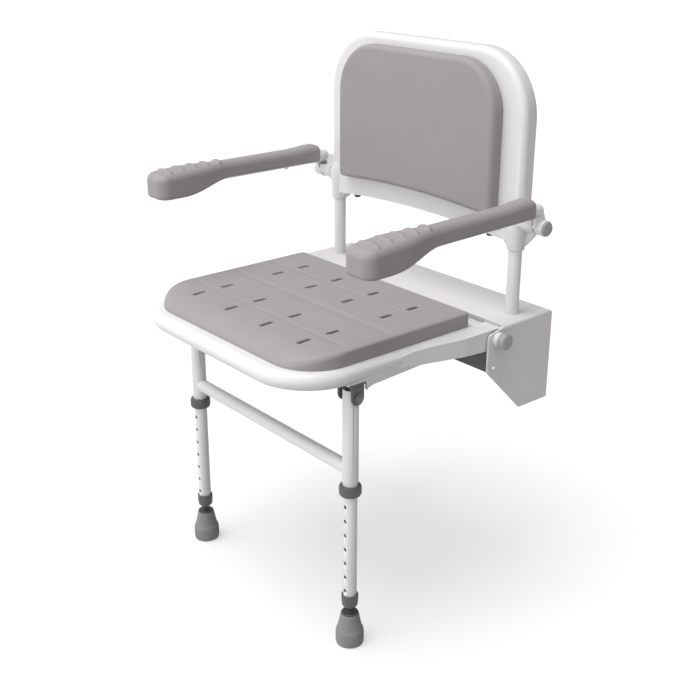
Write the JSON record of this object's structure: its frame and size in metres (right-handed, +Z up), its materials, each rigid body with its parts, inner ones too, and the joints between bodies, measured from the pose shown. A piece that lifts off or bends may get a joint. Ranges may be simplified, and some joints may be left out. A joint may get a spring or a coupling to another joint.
{
  "type": "fold-up shower seat",
  "caption": "Wall-mounted padded shower seat that folds up, with padded back, fold-up arms and two height-adjustable front legs.",
  "frame": {"origin": "centre of the four wall fixing holes, on the wall's surface", "axes": "+X to the right as seen by someone facing the wall, +Y into the wall, +Z up"},
  "size_m": [0.58, 0.506, 0.9029],
  "materials": {
    "bracket_steel": "satin powder coat",
    "dark_steel": "satin powder coat",
    "zinc_steel": "zinc plated",
    "bright_steel": "ground",
    "white_tube": "semi-gloss powder coat",
    "white_moulding": "semi-gloss moulded",
    "grey_pad": "matte self-skinned foam",
    "grey_arm_pad": "matte self-skinned foam",
    "grey_cap": "matte moulded",
    "black_screw": "black oxide",
    "dark_plastic": "matte moulded",
    "dark_bolt": "dark zinc",
    "black_stem": "black oxide",
    "grey_rubber": "matte rubber"
  },
  "bodies": {
    "wall_frame": {"wall_bracket": "bracket_steel", "stop_bar": "dark_steel", "stop_bar_screws": "zinc_steel", "upright_left": "white_tube", "upright_right": "white_tube", "back_shell": "white_moulding", "back_pad": "grey_pad", "back_screws": "black_screw", "arm_pin_left": "bright_steel", "arm_washer_left": "bright_steel", "seat_pin_left": "bright_steel", "seat_pin_collar_left": "white_moulding", "seat_pin_cap_left": "grey_cap", "arm_pin_right": "bright_steel", "arm_washer_right": "bright_steel", "seat_pin_right": "bright_steel", "seat_pin_collar_right": "white_moulding", "seat_pin_cap_right": "grey_cap"},
    "seat": {"seat_shell": "white_moulding", "seat_pad": "grey_pad", "seat_pad_screws": "zinc_steel", "seat_bush_left": "dark_plastic", "leg_hinge_left": "dark_plastic", "leg_pin_left": "dark_bolt", "seat_bush_right": "dark_plastic", "leg_hinge_right": "dark_plastic", "leg_pin_right": "dark_bolt"},
    "legs": {"leg_frame": "white_tube", "leg_collar_left": "dark_plastic", "leg_collar_right": "dark_plastic"},
    "arm_left": {"arm_frame_left": "white_tube", "arm_pad_left": "grey_arm_pad", "arm_cap_left": "grey_cap", "arm_screws_left": "zinc_steel"},
    "lower_leg_left": {"inner_leg_left": "white_tube", "end_plug_left": "dark_plastic"},
    "button_left": {"leg_button_left": "zinc_steel"},
    "stem_left": {"foot_stem_left": "black_stem"},
    "foot_left": {"rubber_foot_left": "grey_rubber"},
    "arm_right": {"arm_frame_right": "white_tube", "arm_pad_right": "grey_arm_pad", "arm_cap_right": "grey_cap", "arm_screws_right": "zinc_steel"},
    "lower_leg_right": {"inner_leg_right": "white_tube", "end_plug_right": "dark_plastic"},
    "button_right": {"leg_button_right": "zinc_steel"},
    "stem_right": {"foot_stem_right": "black_stem"},
    "foot_right": {"rubber_foot_right": "grey_rubber"}
  },
  "joints": [
    {"name": "seat_fold", "type": "hinge", "parent": "wall_frame", "child": "seat", "pos_m": [0, -0.13, 0.057], "axis": [-1, 0, 0], "range_deg": [0, 90]},
    {"name": "leg_fold", "type": "hinge", "parent": "seat", "child": "legs", "pos_m": [0, -0.391, 0.02], "axis": [-1, 0, 0], "range_deg": [-90, 0]},
    {"name": "arm_left_fold", "type": "hinge", "parent": "wall_frame", "child": "arm_left", "pos_m": [-0.2605, -0.0575, 0.227], "axis": [-1, 0, 0], "range_deg": [0, 90]},
    {"name": "arm_right_fold", "type": "hinge", "parent": "wall_frame", "child": "arm_right", "pos_m": [0.2605, -0.0575, 0.227], "axis": [-1, 0, 0], "range_deg": [0, 90]},
    {"name": "leg_height_left", "type": "slide", "parent": "legs", "child": "lower_leg_left", "axis": [0, 0, 1], "range_m": [-0.075, 0]},
    {"name": "leg_button_left", "type": "slide", "parent": "lower_leg_left", "child": "button_left", "axis": [0, 1, 0], "range_m": [-0.006, 0], "stiffness_N_per_m": 300, "springref_m": 0.004},
    {"name": "foot_screw_left", "type": "slide", "parent": "lower_leg_left", "child": "stem_left", "axis": [0, 0, 1], "range_m": [-0.008, 0.008]},
    {"name": "foot_turn_left", "type": "hinge", "parent": "stem_left", "child": "foot_left", "pos_m": [-0.207, -0.391, -0.39], "axis": [0, 0, 1], "range_deg": [-1800, 1800]},
    {"name": "leg_height_right", "type": "slide", "parent": "legs", "child": "lower_leg_right", "axis": [0, 0, 1], "range_m": [-0.075, 0]},
    {"name": "leg_button_right", "type": "slide", "parent": "lower_leg_right", "child": "button_right", "axis": [0, 1, 0], "range_m": [-0.006, 0], "stiffness_N_per_m": 300, "springref_m": 0.004},
    {"name": "foot_screw_right", "type": "slide", "parent": "lower_leg_right", "child": "stem_right", "axis": [0, 0, 1], "range_m": [-0.008, 0.008]},
    {"name": "foot_turn_right", "type": "hinge", "parent": "stem_right", "child": "foot_right", "pos_m": [0.207, -0.391, -0.39], "axis": [0, 0, 1], "range_deg": [-1800, 1800]}
  ],
  "couplings": [
    {"joint": "leg_fold", "follows": "seat_fold", "ratio": -1}
  ]
}
